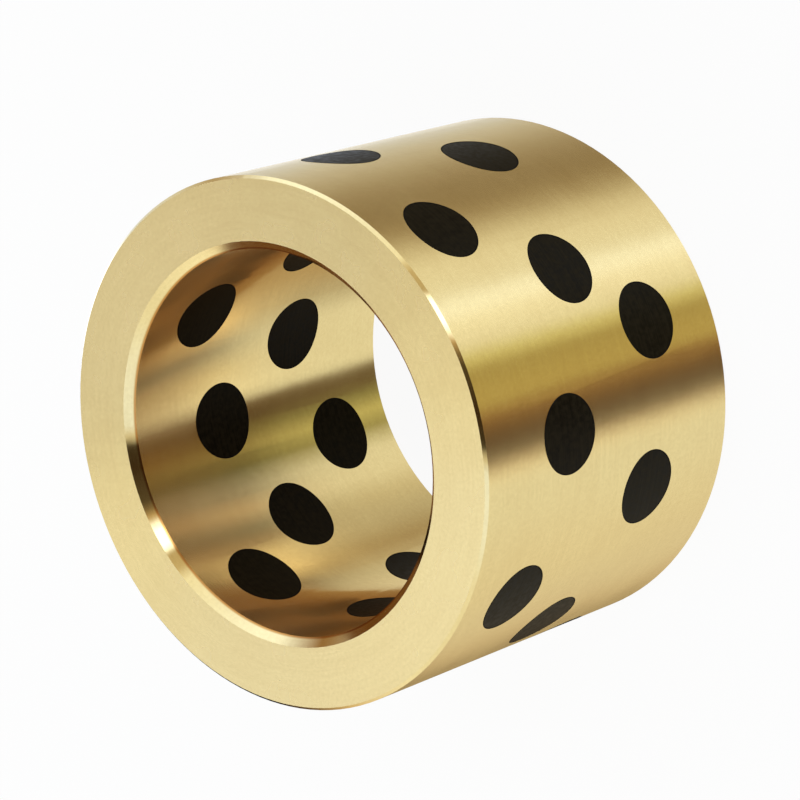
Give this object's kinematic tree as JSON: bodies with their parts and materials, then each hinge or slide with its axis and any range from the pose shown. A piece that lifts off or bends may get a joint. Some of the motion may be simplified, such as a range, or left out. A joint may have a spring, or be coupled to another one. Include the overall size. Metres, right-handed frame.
{
  "type": "graphite plugged bushing",
  "caption": "Plain cylindrical bronze bearing bush with graphite plugs set flush through its wall, chamfered at both ends, for a shaft that runs without oil.",
  "frame": {"origin": "centre of the bottom end face, on the axis of the bore", "axes": "+Z runs along the bore, up from the bottom end face; +X is where the angles of the drilling pattern are counted from, anticlockwise seen from above; the two end faces are alike"},
  "size_m": [0.055, 0.055, 0.04],
  "materials": {
    "bronze": "satin",
    "graphite": "matte"
  },
  "bodies": {
    "root": {"bushing_body": "bronze", "plug_01": "graphite", "plug_02": "graphite", "plug_03": "graphite", "plug_04": "graphite", "plug_05": "graphite", "plug_06": "graphite", "plug_07": "graphite", "plug_08": "graphite", "plug_09": "graphite", "plug_10": "graphite", "plug_11": "graphite", "plug_12": "graphite", "plug_13": "graphite", "plug_14": "graphite", "plug_15": "graphite", "plug_16": "graphite", "plug_17": "graphite", "plug_18": "graphite", "plug_19": "graphite", "plug_20": "graphite"}
  },
  "joints": []
}
